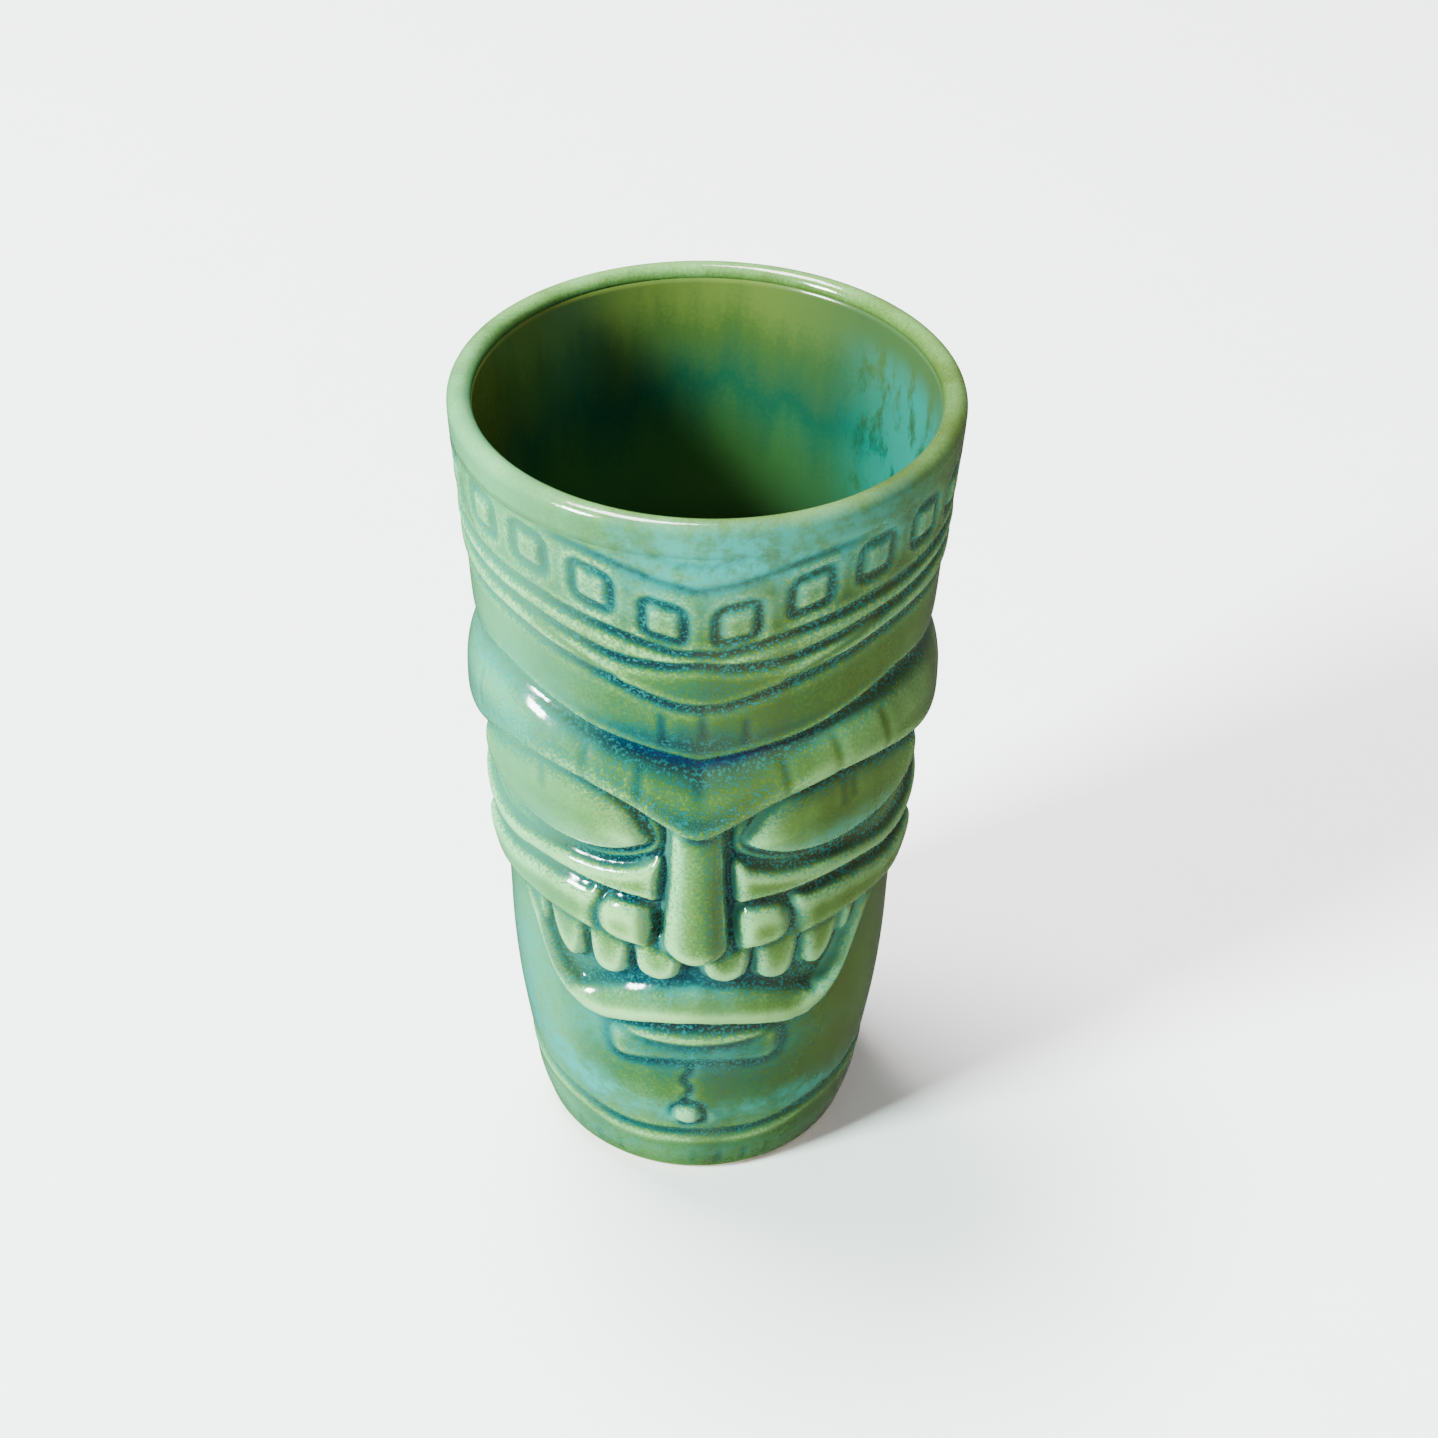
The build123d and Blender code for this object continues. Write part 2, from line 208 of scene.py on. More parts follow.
TEETH = [
    [
        (4.0, 65.0), (4.2, 60.6), (6.2, 58.6), (11, 57.8), (15.8, 59.2), (17.2, 61.6), (17.6, 66.0),
        (17.4, 69.0), (8.0, 69.0),
    ],
    [
        (18.8, 70.0), (18.8, 61.0), (20.4, 58.0), (25.0, 56.8), (29.4, 58.2), (31.0, 61.6), (31.4, 66.0),
        (31.2, 71.0),
    ],
    [
        (32.6, 71.5), (32.2, 63.0), (33.4, 58.8), (37.0, 57.2), (41.2, 59.0), (44.0, 63.0), (45.2, 68.0),
        (45.4, 73.0),
    ],
    [(46.8, 73.0), (46.4, 66.0), (47.4, 61.4), (49.4, 61.8), (51.4, 66.0), (52.6, 73.0)],
]
MOUTH_OUTER = [
    (0, 48.4), (12, 47.8), (20, 46.6), (27, 45.6), (32, 45.8), (37, 47.4), (43, 50.2), (50, 54.0),
    (59, 60.0), (67, 67.0), (70, 74.0),
]
MOUTH_CREST = [
    (0, 51.0), (11, 50.5), (20, 49.3), (26, 48.4), (31, 48.6), (36, 50.4), (42, 54.0), (47, 58.4),
    (51.4, 63.0), (54.6, 68.4), (55.6, 74.0),
]
MOUTH_INNER = [
    (0, 56.4), (12, 55.6), (20, 54.4), (28, 52.6), (35, 51.4), (40, 52.4), (44, 55.4), (47.4, 60.0),
    (49.6, 66.0), (50.4, 73.0),
]
PLAQUE = [
    (0, 45.4), (18, 45.0), (25.4, 43.4), (26.4, 38.6), (24.6, 35.6), (20, 34.8), (8, 35.8), (0, 35.9),
]
LENS = [(0, 45.2), (14, 45.0), (23.4, 44.0), (20, 42.6), (14, 41.7), (7, 41.1), (0, 40.9)]
WEDGE_RIGHT = [(3.8, 22.6), (9.0, 18.2), (5.0, 16.2)]
SQUIGGLE = [
    (-0.9, 34.6), (-1.4, 32.4), (-3.2, 30.4), (-1.3, 28.2), (-1.4, 26.6), (-3.0, 24.6), (-2.0, 22.8),
]
BEAD_ANGLE = -1.8
BEAD_HEIGHT = 20.2
BEAD_RADIUS = 2.7

# How far each kind of relief stands out from the wall.
BROW_RAISE = 4.7
EYE_RAISE = 2.9
CHEEK_RAISE = 1.8
UPPER_LIP_RAISE = 2.5
NOSTRIL_RAISE = 3.2
TOOTH_RAISE = [1.7, 1.7, 1.7, 1.1]
MOUTH_RAISE = 3.1
PLAQUE_RAISE = 0.9
LENS_RAISE = 0.55
WEDGE_RAISE = 0.45
# The right teeth and nostril sit this many degrees nearer the nose than the left ones.
TOOTH_SHIFT = -2.0
NOSTRIL_SHIFT = -1.6

# Runs of glaze, (angle, top, bottom).
RUNS = [
    (-62, 114.5, 108), (-27, 111.5, 105.5), (-14, 110, 105), (20, 111, 105.5), (33, 113.5, 107),
    (46, 115, 109), (-9, 121, 114), (11, 120, 115), (36, 104, 98.5), (38.6, 104, 99.5), (-40, 103, 100),
    (0.6, 123, 117),
]

NOSE_HALF_TOP = 4.7
NOSE_HALF_BOTTOM = 5.9
NOSE_BOTTOM = 64.6
NOSE_FRONT = 41.9

TILE_COUNT = 22
TILE_MIDDLE = [(0, 140.0), (8, 140.9), (24, 145.3), (40, 148.0), (57, 149.0), (75, 148.4), (180, 147.4)]
TILE_SLOPE = [(0, 0.22), (16, 0.26), (32, 0.2), (45, 0.05), (60, 0.0), (180, 0.0)]
TILE_HALF_WIDE = 3.3
TILE_HALF_TALL = 3.4
TILE_ROUND = 1.5
TILE_LINE_WIDTH = 0.85
TILE_LINE_DEPTH = 0.8
TILE_PAD_RAISE = 0.35
TILE_RIM_RAISE = 0.15

# ---------------------------------------------------------------- the grid round the cup

FRONT_LIMIT = 84.0  # degrees
FRONT_STEP = 0.58  # degrees
BACK_STEP = 1.2  # degrees
ROW_STEP = 0.42  # millimetres


def make_grid():
    """Angles of the columns, closer together on the face, and heights of the rows."""
    front = np.linspace(-FRONT_LIMIT, FRONT_LIMIT, 2 * int(FRONT_LIMIT / FRONT_STEP) + 1)
    back_count = int((360 - 2 * FRONT_LIMIT) / BACK_STEP)
    back = np.linspace(FRONT_LIMIT, 360 - FRONT_LIMIT, back_count + 1)[1:-1]
    angles = np.concatenate([front, back])
    rows = np.linspace(FOOT_TOP, LIP_BASE, int((LIP_BASE - FOOT_TOP) / ROW_STEP) + 1)
    return (angles + 180) % 360 - 180, rows


columns, rows = make_grid()
ANGLE, HEIGHT_AT = np.meshgrid(columns, rows)
SIDE = np.abs(ANGLE)
WALL_AT = wall_radius(HEIGHT_AT)
ARC = np.radians(1.0) * WALL_AT  # millimetres along the wall for one degree
ACROSS = ANGLE * ARC


OUTLINE_STEPS = 8
PATH_STEPS = 6


def outline_curve(points, sharp=False):
    """Closed outline through the points, rounded unless sharp."""
    p = np.array(points, float)
    if sharp:
        return p
    out = []
    count = len(p)
    t = np.linspace(0, 1, OUTLINE_STEPS, endpoint=False)[:, None]
    for i in range(count):
        a, b, c, d = p[i - 1], p[i], p[(i + 1) % count], p[(i + 2) % count]
        bend = (2 * a - 5 * b + 4 * c - d) * t**2 + (3 * b - a - 3 * c + d) * t**3
        out.append(0.5 * (2 * b + (c - a) * t + bend))
    return np.concatenate(out)


def segment_distance(px, py, ax, ay, bx, by):
    dx, dy = bx - ax, by - ay
    t = np.clip(((px - ax) * dx + (py - ay) * dy) / (dx * dx + dy * dy + 1e-12), 0, 1)
    return np.hypot(px - ax - t * dx, py - ay - t * dy)


def to_arc(points):
    """(angle, height) points as millimetres along the wall and up."""
    return np.column_stack([points[:, 0] * np.radians(1.0) * wall_radius(points[:, 1]), points[:, 1]])


def inside_distance(points, mirrored=False, reach=4.0, sharp=False):
    """Distance inside a closed outline in millimetres along the wall, negative outside it."""
    curve = outline_curve(points, sharp=sharp)
    path = to_arc(curve)
    across = -ACROSS if mirrored else ACROSS
    angle = -ANGLE if mirrored else ANGLE
    near = (
        (angle > curve[:, 0].min() - 8) & (angle < curve[:, 0].max() + 8)
        & (HEIGHT_AT > curve[:, 1].min() - reach) & (HEIGHT_AT < curve[:, 1].max() + reach)
    )
    px, py = across[near], HEIGHT_AT[near]
    best = np.full(px.shape, 99.0)
    inside = np.zeros(px.shape, bool)
    for i in range(len(path)):
        (ax, ay), (bx, by) = path[i - 1], path[i]
        best = np.minimum(best, segment_distance(px, py, ax, ay, bx, by))
        if ay != by:
            crosses = (ay > py) != (by > py)
            inside ^= crosses & (px < (bx - ax) * (py - ay) / (by - ay) + ax)
    out = np.full(ANGLE.shape, -99.0)
    out[near] = np.where(inside, best, -best)
    return out


def path_distance(points):
    """Distance from an open path, in millimetres along the wall."""
    p = np.array(points, float)
    x = np.linspace(0, len(p) - 1, (len(p) - 1) * PATH_STEPS + 1)
    curve = np.column_stack([through(list(enumerate(p[:, k])), x) for k in (0, 1)])
    path = to_arc(curve)
    best = np.full(ANGLE.shape, 99.0)
    for (ax, ay), (bx, by) in zip(path, path[1:]):
        best = np.minimum(best, segment_distance(ACROSS, HEIGHT_AT, ax, ay, bx, by))
    return best


def half_outline(upper, lower):
    """Closed outline across the front from the right halves of its two edges."""
    left_upper = [(-a, z) for a, z in reversed(upper[1:])]
    left_lower = [(-a, z) for a, z in lower[1:]]
    return left_upper + upper + list(reversed(lower)) + left_lower


def above(edge):
    """Height above an edge that runs round the cup."""
    return HEIGHT_AT - through(edge, SIDE)


# ---------------------------------------------------------------- the relief


class Relief:
    """Height above the bare wall, and which piece is on top."""

    def __init__(self):
        self.height = np.zeros(ANGLE.shape)
        self.owner = np.zeros(ANGLE.shape, int)
        self.names = ["body_wall"]

    def index(self, name):
        """Number of a piece, which is added if it is new."""
        if name not in self.names:
            self.names.append(name)
        return self.names.index(name)

    def lay(self, name, height, where):
        """Gives this area to a piece, which stands over what is there already where it is higher."""
        self.owner[where] = self.index(name)
        self.height = np.where(height > 0, np.maximum(self.height, height), self.height)

    def cut(self, amount):
        """Adds to the height whatever the piece; a cut is negative."""
        self.height = self.height + amount


relief = Relief()


def lay_pad(name, points, raise_by, edge, tilt=0.0, right_shift=0.0):
    """A rounded pad on each side of the face; tilt raises its lower edge over its upper one, per mm."""
    middle = np.mean([z for _, z in points])
    for mirrored in (False, True):
        placed = points if mirrored else [(angle + right_shift, height) for angle, height in points]
        inside = inside_distance(placed, mirrored)
        height = pillow(inside, edge) * (raise_by + tilt * (middle - HEIGHT_AT))
        relief.lay(("left_" if mirrored else "right_") + name, height, inside > 0)


def between(top, low):
    """0 to 1 from the lower edge to the upper edge of a band."""
    low_z = through(low, SIDE)
    return (HEIGHT_AT - low_z) / (through(top, SIDE) - low_z)


def build_crown():
    """Headband with its tiles, and the cords under it."""
    under_rim = groove(above(GROOVE_UNDER_RIM), 0.85, 0.55) * (1 - smooth_step(SIDE, 30, 42))
    faint = groove(above(FAINT_GROOVE), 0.8, 0.28) * (1 - smooth_step(SIDE, 14, 24))
    relief.cut(under_rim + faint)
    band = above(BAND_LOW)
    relief.cut(groove(band, 0.8, 0.75))
    relief.cut(ridge(band - 1.6, 0.9, 0.15) + ridge(band + 1.6, 0.9, 0.12))
    cord = above(CORD_LOW)
    relief.cut(groove(cord, 0.8, 0.7) + ridge(cord + 1.5, 0.8, 0.12))
    strand = above(STRAND_LOW)
    relief.cut(groove(strand, 0.85, 0.7) + ridge(strand - 1.5, 0.8, 0.15))
    for side in (1, -1):
        crossing = path_distance([(side * a, z) for a, z in STRAND_CROSS])
        relief.cut(groove(crossing, 0.7, 0.45))
    for top, low, raise_by in ((BAND_LOW, CORD_LOW, 0.35), (CORD_LOW, STRAND_LOW, 0.4)):
        relief.cut(raise_by * np.sin(np.pi * np.clip(between(top, low), 0, 1)))
    relief.owner[band > 0] = relief.index("headband")
    relief.owner[(band <= 0) & (cord > 0)] = relief.index("upper_cord")
    crescent_limit = 28 + 0.9 * (HEIGHT_AT - 128)
    strands = (cord <= 0) & (strand > 0)
    relief.owner[strands & (SIDE <= crescent_limit)] = relief.index("forehead_crescent")
    relief.owner[strands & (SIDE > crescent_limit)] = relief.index("lower_cord")


def build_tiles():
    """Square tiles with round corners, each a low pad inside a scratched line."""
    for index in range(TILE_COUNT):
        angle = ((index + 0.5) * 360 / TILE_COUNT + 180) % 360 - 180
        side = abs(angle)
        middle = through(TILE_MIDDLE, side)
        slope = through(TILE_SLOPE, side)
        delta = (ANGLE - angle + 180) % 360 - 180
        x = delta * ARC
        y = HEIGHT_AT - middle - slope * x * np.sign(angle)
        qx = np.abs(x) - (TILE_HALF_WIDE - TILE_ROUND)
        qy = np.abs(y) - (TILE_HALF_TALL - TILE_ROUND)
        corner = np.hypot(np.maximum(qx, 0), np.maximum(qy, 0))
        outside = corner + np.minimum(np.maximum(qx, qy), 0) - TILE_ROUND
        line = groove(outside, TILE_LINE_WIDTH, TILE_LINE_DEPTH)
        rim = ridge(outside - 1.6, 0.8, TILE_RIM_RAISE)
        pad = TILE_PAD_RAISE * pillow(-outside, 3.0)
        near = (np.abs(delta) < 14) & (np.abs(y) < 9)
        relief.cut(np.where(near, line + rim + pad, 0))
        relief.owner[outside < -0.1] = relief.index("headband_tiles")


def build_brow():
    """The brow rolls over from the groove above it and overhangs the eyes."""
    t = between(BROW_TOP, BROW_LOW)
    inside = (t > 0) & (t < 1)
    depth = through(BROW_TOP, SIDE) - HEIGHT_AT
    low_gap = HEIGHT_AT - through(BROW_LOW, SIDE)
    fade = 1 - smooth_step(SIDE, 100, 150)
    upper = np.sin(np.pi / 2 * np.clip(depth / 8.5, 0, 1))
    lower = pillow(low_gap, 4.2)
    full = BROW_RAISE * fade * (1 - 0.48 * smooth_step(SIDE, 40, 90)) + 0.1
    height = np.where(inside, full * upper * lower, 0)
    relief.lay("brow_ridge", height, inside & (SIDE < 150))
    relief.cut(groove(-depth, 0.8 + 1.2 * smooth_step(SIDE, 15, 70), 0.9) * (0.35 + 0.65 * fade))
    relief.cut(ridge(-depth - 1.7, 0.8, 0.35) * (0.2 + 0.8 * fade))


def build_eyes():
    """Almond eyes, shut, in a socket with a fold round its inner corner."""
    for mirrored in (False, True):
        inside = inside_distance(EYE, mirrored)
        free = above(BROW_LOW) < 0
        height = EYE_RAISE * pillow(inside, 7.0) * free
        relief.lay("left_eye" if mirrored else "right_eye", height, (inside > 0) & free)
        low_side = smooth_step(-above(BROW_LOW), 0.0, 3.0)
        side_fade = 1 - smooth_step(SIDE, 62, 74)
        relief.cut(groove(inside + 0.4, 0.75, 0.45) * low_side * side_fade)
        inner = 1 - smooth_step(SIDE, 20, 32)
        relief.cut(ridge(inside + 1.6, 0.55, 0.45) * low_side * inner)
        relief.cut(groove(inside + 2.8, 1.1, 0.5) * low_side * side_fade * (HEIGHT_AT < 100))


def build_nose():
    """A straight bar that widens a little downwards, with a channel on each side."""
    half = NOSE_HALF_BOTTOM + (NOSE_HALF_TOP - NOSE_HALF_BOTTOM) * smooth_step(HEIGHT_AT, 64, 92)
    away = np.abs(ACROSS)
    bottom = NOSE_BOTTOM + 2.6 * np.clip(away / half, 0, 1) ** 2
    across = np.clip(1 - (ACROSS / half) ** 2, 0, 1)
    height = (NOSE_FRONT - WALL_AT) * across**0.45 * pillow(HEIGHT_AT - bottom, 3.2)
    inside = (away < half) & (HEIGHT_AT > bottom) & (above(BROW_LOW) < 0.6)
    under_brow = above(BROW_LOW) < 0
    relief.lay("nose", np.where(inside, height, 0), inside & under_brow)
    channel = groove(away - half - 0.9, 1.1, 0.8) * (away > half)
    relief.cut(channel * smooth_step(HEIGHT_AT, 64, 68) * under_brow)


def build_mouth():
    """A shelf round the mouth: it rises from the mouth's floor to a crest, then drops to the chin."""
    lid = [(0, 90.0)] + [(a, 90.0) for a, _ in MOUTH_CREST[1:]]
    inside = inside_distance(half_outline(MOUTH_INNER, MOUTH_OUTER), sharp=True)
    inside_crest = inside_distance(half_outline(lid, MOUTH_CREST), sharp=True, reach=8.0)
    hollow = inside_distance(half_outline(lid, MOUTH_INNER), sharp=True, reach=8.0)
    from_floor, to_crest = np.clip(-hollow, 0, None), np.clip(inside_crest, 0, None)
    climb = from_floor / (from_floor + to_crest + 1e-6)
    fall = pillow(3.2 + inside_crest, 3.2)
    full = MOUTH_RAISE - 1.6 * smooth_step(SIDE, 38, 54)
    height = full * np.where(inside_crest > 0, climb**0.75, fall)
    height = np.where((HEIGHT_AT < 76) & (hollow < 0), height, 0)
    relief.lay("mouth_rim", height, (inside > 0) & (hollow < 0))
    relief.cut(-0.8 * pillow(hollow, 2.5) * (HEIGHT_AT < 74))


def build_chin():
    """A plaque with a lens on it, a wavy line, and a bead between two wedges."""
    plaque = inside_distance(half_outline(PLAQUE[:4], PLAQUE[:3:-1]))
    relief.lay("chin_plaque", PLAQUE_RAISE * smooth_step(plaque, -0.3, 2.6), plaque > 0)
    relief.cut(groove(plaque + 0.6, 1.1, 0.3) * (HEIGHT_AT < 43))
    lens = inside_distance(half_outline(LENS[:3], LENS[:2:-1]), sharp=True)
    lens_edge = groove(lens + 0.3, 0.8, 0.25) * (HEIGHT_AT < 43.5)
    relief.cut(LENS_RAISE * smooth_step(lens, -0.2, 1.8) + lens_edge)
    relief.owner[lens > 0] = relief.index("chin_lens")
    relief.cut(groove(path_distance(SQUIGGLE), 0.9, 0.5))
    bead_x = BEAD_ANGLE * np.radians(1.0) * wall_radius(BEAD_HEIGHT)
    away = np.hypot(ACROSS - bead_x, HEIGHT_AT - BEAD_HEIGHT)
    relief.cut(groove(away - BEAD_RADIUS - 0.4, 0.8, 0.4))
    bead = np.sqrt(np.clip(BEAD_RADIUS**2 - away**2, 0, None)) * 0.55
    relief.lay("chin_bead", bead, away < BEAD_RADIUS)
    for mirrored in (False, True):
        wedge = inside_distance(WEDGE_RIGHT, mirrored, sharp=True)
        name = "left_chin_wedge" if mirrored else "right_chin_wedge"
        relief.lay(name, WEDGE_RAISE * smooth_step(wedge, -0.2, 1.6), wedge > 0)


def build_base():
    """The band over the foot, with faint notches round it."""
    line = above(BASE_GROOVE)
    relief.cut(groove(line, 1.1, 0.6) + ridge(line + 2.1, 1.2, 0.25))
    relief.owner[line < 0] = relief.index("base_band")
    notch = np.cos(np.radians(ANGLE) * 40)
    tall = smooth_step(HEIGHT_AT, 2.5, 3.5) * (1 - smooth_step(HEIGHT_AT, 7, 8.5))
    relief.cut(-0.14 * smooth_step(notch, 0.2, 0.95) * tall * (0.5 + 0.5 * np.sin(np.radians(7 * ANGLE))))


def build_runs():
    """Short vertical lines where the glaze ran and left a seam."""
    for angle, top, low in RUNS:
        relief.cut(groove(path_distance([(angle, top), (angle + 0.4, low)]), 0.6, 0.3))


def build_relief():
    """Laid from the back forwards: what comes later takes over where two pieces meet."""
    build_crown()
    build_tiles()
    build_mouth()
    for number, (tooth, raise_by) in enumerate(zip(TEETH, TOOTH_RAISE), start=1):
        lay_pad(f"tooth_{number}", tooth, raise_by, edge=2.2, tilt=0.03, right_shift=TOOTH_SHIFT)
    lay_pad("upper_lip", UPPER_LIP, UPPER_LIP_RAISE, edge=3.4)
    lay_pad("nostril", NOSTRIL, NOSTRIL_RAISE, edge=3.8, right_shift=NOSTRIL_SHIFT)
    lay_pad("cheek", CHEEK, CHEEK_RAISE, edge=2.0, tilt=-0.05)
    build_eyes()
    build_nose()
    build_brow()
    build_chin()
    build_base()
    build_runs()


build_relief()

# ---------------------------------------------------------------- finished surface and what colours it


def blur(values, sigma):
    """Gaussian blur over the grid; sigma in rows of the grid, about as many columns on the face."""
    reach = int(3 * sigma) + 1
    offsets = np.arange(-reach, reach + 1)
    weights = np.exp(-0.5 * (offsets / sigma) ** 2)
    weights /= weights.sum()
    padded = np.pad(values, ((reach, reach), (0, 0)), mode="edge")
    out = sum(w * padded[reach + o : reach + o + len(values)] for o, w in zip(offsets, weights))
    return sum(w * np.roll(out, o, axis=1) for o, w in zip(offsets, weights))


SURFACE_BLUR = 1.1
CAVITY_FULL = 0.42
NEAR_CUT_FULL = 0.07

SURFACE = blur(relief.height, SURFACE_BLUR)
RADIUS = WALL_AT + SURFACE

# Hollows, against a narrow and a wide neighbourhood; ground near a cut; slopes that face the right, which
# carry painted shade, with painted light on those that face the left.
CAVITY_FINE = blur(SURFACE, 2.6) - SURFACE
CAVITY_BROAD = blur(SURFACE, 7.0) - SURFACE
NEAR_CUT = blur(np.clip(CAVITY_FINE - 0.03, 0, 0.4), 3.2)
ECHO = blur(relief.height, 14.0)
RIGHT_FACING_SLOPE = (np.roll(SURFACE, 1, axis=1) - np.roll(SURFACE, -1, axis=1)) / (2 * FRONT_STEP * ARC)


def cylinder_point(angle, radius, height):
    """Places in metres, from degrees round the axis and millimetres out and up."""
    a = np.radians(angle)
    return np.stack([radius * np.sin(a), -radius * np.cos(a), height], axis=-1) * MM


POINT = cylinder_point(ANGLE, RADIUS, HEIGHT_AT)


def grid_normals(points):
    around = np.roll(points, -1, axis=1) - np.roll(points, 1, axis=1)
    up = np.gradient(points, axis=0)
    normal = np.cross(around, up)
    return normal / np.linalg.norm(normal, axis=-1, keepdims=True)


NORMAL = grid_normals(POINT)


def blob(angle, height, half_angle, half_height, turn=0.0):
    """1 in the middle of a soft oval patch on the wall, 0 outside it."""
    x = (ANGLE - angle) * ARC
    y = HEIGHT_AT - height
    c, s = math.cos(math.radians(turn)), math.sin(math.radians(turn))
    wide = half_angle * np.radians(1.0) * 38
    return np.exp(-(((x * c + y * s) / wide) ** 2) - ((-x * s + y * c) / half_height) ** 2)


# Turquoise patches: (strength, angle, height, half angle, half height, turn).
TURQUOISE_PATCHES = [
    (1.0, 4, 152.5, 30, 4.5, 0), (0.35, 40, 152, 22, 5.0, 0), (0.5, -12, 145, 24, 5.0, 0),
    (0.45, -58, 116, 34, 10, 0), (0.5, -8, 56, 22, 4, 0), (0.4, -28, 43, 12, 5, 0),
    (0.75, -70, 42, 26, 20, 0), (0.3, 0, 38, 30, 4, 0), (1.0, -52, 27, 26, 3.8, -14),
    (0.8, -26, 20.5, 20, 3.2, -8), (0.6, 30, 20, 24, 3.4, 0), (0.3, -44, 8, 34, 4, 0),
    (0.15, 22, 7, 40, 4, 0),
]
# The same on both sides of the mug.
TURQUOISE_PAIRS = [(0.4, 44, 91, 26, 3.5), (0.5, 128, 60, 30, 26), (0.4, 160, 25, 40, 6)]


def turquoise_zone():
    """Where the glaze ran thick and broke turquoise."""
    zone = sum(strength * blob(*patch) for strength, *patch in TURQUOISE_PATCHES)
    for strength, angle, *patch in TURQUOISE_PAIRS:
        zone = zone + strength * (blob(-angle, *patch) + blob(angle, *patch))
    return np.clip(zone, 0, 1)


def deep_zone():
    """Where pooled glaze turns navy: over the brow's middle, beside the nose and in the mouth."""
    centre = 0.8 * np.exp(-((above(BROW_TOP) / 0.9) ** 2)) * (1 - smooth_step(SIDE, 6, 34))
    socket = blob(0, 80, 13, 9) * (np.abs(ACROSS) > 4.8)
    mouth = blob(0, 60, 44, 5)
    return np.clip(centre + 0.6 * socket + 0.45 * mouth, 0, 1)


def shade_zone():
    """Where the colour darkens and speckles: the brow's edges, the forehead, the nose and the chin, with
    painted shade on the nose's right half.
    """
    t = between(BROW_TOP, BROW_LOW)
    low_half = (1 - smooth_step(t, 0.4, 0.7)) * (1 - 0.5 * smooth_step(-t, -0.14, 0.0))
    roll = 0.32 + 0.68 * np.maximum(low_half, 0.75 * smooth_step(t, 0.68, 0.95))
    right = 1 - 0.9 * smooth_step(ANGLE, 6, 34)
    roll = np.where((t > 0) & (t < 1), roll, 0) * right * (1 - smooth_step(SIDE, 80, 120))
    forehead = 0.75 * blob(-6, 114.5, 26, 4.5) + 0.4 * blob(0, 126, 26, 4) + 0.35 * blob(0, 137, 20, 6)
    chin = 0.3 * blob(0, 34, 34, 9) + 0.55 * blob(3, 38, 24, 5)
    # The nose: darker glaze all over, and painted shade on its right half.
    nose = (relief.owner == relief.index("nose")) * (0.22 + 0.4 * smooth_step(ACROSS, -1.5, 3.0))
    return np.clip(roll + forehead + chin + nose, 0, 1)


PAINT = {
    "cavity": np.clip(CAVITY_FINE / CAVITY_FULL + 0.3 * CAVITY_BROAD, -1, 1) * 0.5 + 0.5,
    "turquoise": turquoise_zone(),
    "deep": deep_zone(),
    "shade": shade_zone(),
    "near_cut": np.clip(NEAR_CUT / NEAR_CUT_FULL, 0, 1),
    # Painted shade on slopes that face the right and painted light on slopes that face the left.
    "slope_light_shade": np.clip(blur(RIGHT_FACING_SLOPE, 1.5), -1, 1) * 0.5 + 0.5,
}

# ---------------------------------------------------------------- meshes


def new_object(name, points, faces, normals, paint):
    """A smooth mesh on the mug's one body, with the values that colour its glaze."""
    mesh = bpy.data.meshes.new(name)
    mesh.from_pydata(points.tolist(), [], faces.tolist())
    mesh.update()
    mesh.polygons.foreach_set("use_smooth", np.ones(len(mesh.polygons), bool))
    for key, values in paint.items():
        attribute = mesh.attributes.new(key, "FLOAT", "POINT")
        attribute.data.foreach_set("value", values.astype(np.float32))
    if normals is not None:
        mesh.normals_split_custom_set_from_vertices(normals.tolist())
    obj = bpy.data.objects.new(name, mesh)
    bpy.context.scene.collection.objects.link(obj)
    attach(obj, "root")
    return obj


ROWS, COLUMNS = ANGLE.shape
COLUMN_NEXT = (np.arange(COLUMNS) + 1) % COLUMNS
FACE_OWNER = relief.owner[:-1, :]


def grid_faces(mask):
    """Corner indices, in the flattened grid, of the faces where mask is set, seen from outside."""
    row, column = np.nonzero(mask)
    right = COLUMN_NEXT[column]
    low, high = row * COLUMNS, (row + 1) * COLUMNS
    return np.stack([low + column, low + right, high + right, high + column], axis=1)


def border_edges(faces):
    """Directed edges of these faces that no other of them shares."""
    edges = np.concatenate([faces[:, [i, (i + 1) % 4]] for i in range(4)])
    key = edges[:, 0].astype(np.int64) * (ROWS * COLUMNS) + edges[:, 1]
    reverse = edges[:, 1].astype(np.int64) * (ROWS * COLUMNS) + edges[:, 0]
    return edges[~np.isin(key, reverse)]


def relief_piece(name, index):
    """One piece of clay: the carved surface in front, a back on the bare wall, and sides round its edge."""
    faces = grid_faces(FACE_OWNER == index)
    used = np.unique(faces)
    number = np.full(ROWS * COLUMNS, -1)
    number[used] = np.arange(len(used))
    front = POINT.reshape(-1, 3)[used]
    back_radius = np.minimum(RADIUS - 1.0, WALL_AT).reshape(-1)[used]
    back = cylinder_point(ANGLE.reshape(-1)[used], back_radius, HEIGHT_AT.reshape(-1)[used])
    skin = number[faces]
    count = len(used)
    rim = number[border_edges(faces)]
    sides = np.stack([rim[:, 1], rim[:, 0], rim[:, 0] + count, rim[:, 1] + count], axis=1)
    normal = NORMAL.reshape(-1, 3)[used]
    paint = {key: np.tile(values.reshape(-1)[used], 2) for key, values in PAINT.items()}
    return new_object(
        name,
        np.concatenate([front, back]),
        np.concatenate([skin, skin[:, ::-1] + count, sides]),
        np.concatenate([normal, -normal]),
        paint,
    )


INNER_ROWS = np.linspace(FOOT_TOP, LIP_BASE, 44)
# How far the inside of the wall follows the face pushed out of it.
INNER_ECHO = 0.55 * np.stack([np.interp(INNER_ROWS, rows, ECHO[:, c]) for c in range(COLUMNS)], axis=1)


